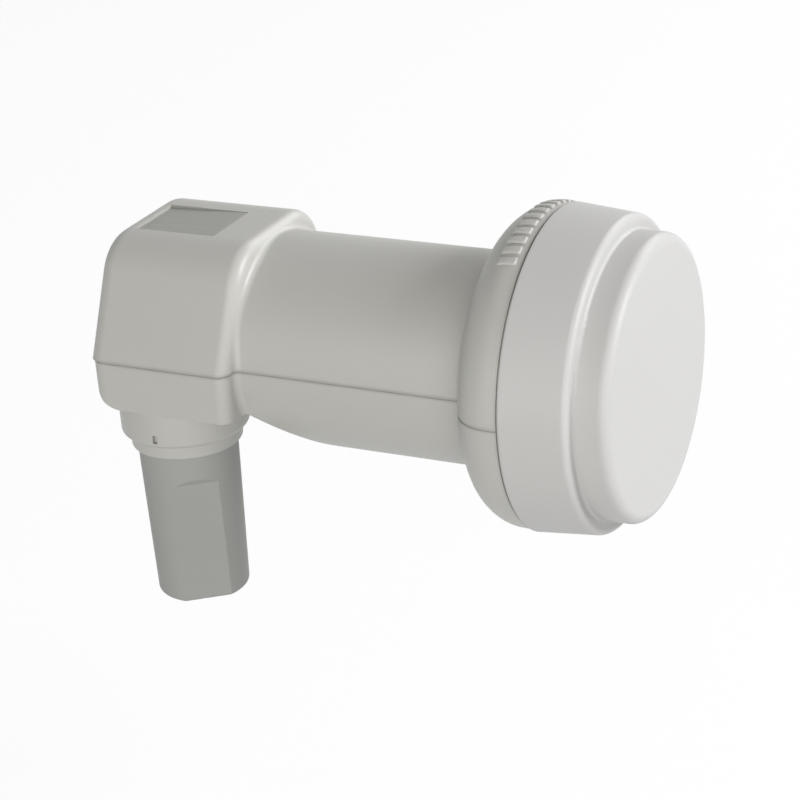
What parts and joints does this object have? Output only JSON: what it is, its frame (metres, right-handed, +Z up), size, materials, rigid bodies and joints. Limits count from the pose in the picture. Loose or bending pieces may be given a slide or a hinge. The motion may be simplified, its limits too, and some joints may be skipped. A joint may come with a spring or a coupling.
{
  "type": "satellite lnb",
  "caption": "Dish receiver head with a round clamp neck, a stepped radome cap, a sloped rear box and a sliding weather boot over its downward coaxial connector.",
  "frame": {"origin": "on the neck's axis, midway along its round length, where the dish arm's clamp holds", "axes": "+X along the neck's axis towards the radome cap, +Z up, with the connector pointing to -Z"},
  "size_m": [0.1056, 0.0602, 0.0814],
  "materials": {
    "housing_plastic": "light warm grey moulded plastic, satin",
    "radome_plastic": "near-white moulded plastic, satin",
    "boot_plastic": "mid grey moulded plastic, matte",
    "label_film": "blank grey label film",
    "seal_rubber": "black rubber",
    "die_cast_metal": "as-cast metal",
    "board_laminate": "green board laminate",
    "screw_steel": "plated steel",
    "screw_brass": "turned brass",
    "resonator_ceramic": "cream ceramic",
    "chip_package": "black moulded package",
    "capacitor_ceramic": "tan ceramic",
    "probe_brass": "gold-coloured brass",
    "insulator_plastic": "white insulator",
    "plated_metal": "bright nickel plate"
  },
  "bodies": {
    "housing": {"upper_shell": "housing_plastic", "lower_shell": "housing_plastic", "radome_cap": "radome_plastic", "label": "label_film", "cap_seal": "seal_rubber", "connector_seal": "seal_rubber", "horn_casting": "die_cast_metal", "shield_cover": "die_cast_metal", "circuit_board": "board_laminate", "cover_screws": "screw_steel", "tuning_screws": "screw_brass", "dielectric_resonators": "resonator_ceramic", "mixer_chip": "chip_package", "lna_transistors": "chip_package", "voltage_regulator": "chip_package", "filter_capacitors": "capacitor_ceramic", "vertical_probe": "probe_brass", "horizontal_probe": "probe_brass", "probe_insulators": "insulator_plastic", "reflector_pin": "probe_brass", "connector_body": "plated_metal", "connector_insulator": "insulator_plastic", "connector_contact": "probe_brass"},
    "boot": {"weather_boot": "boot_plastic"}
  },
  "joints": [
    {"name": "boot_slide", "type": "slide", "parent": "housing", "child": "boot", "axis": [0, 0, -1], "range_m": [0, 0.04]}
  ]
}
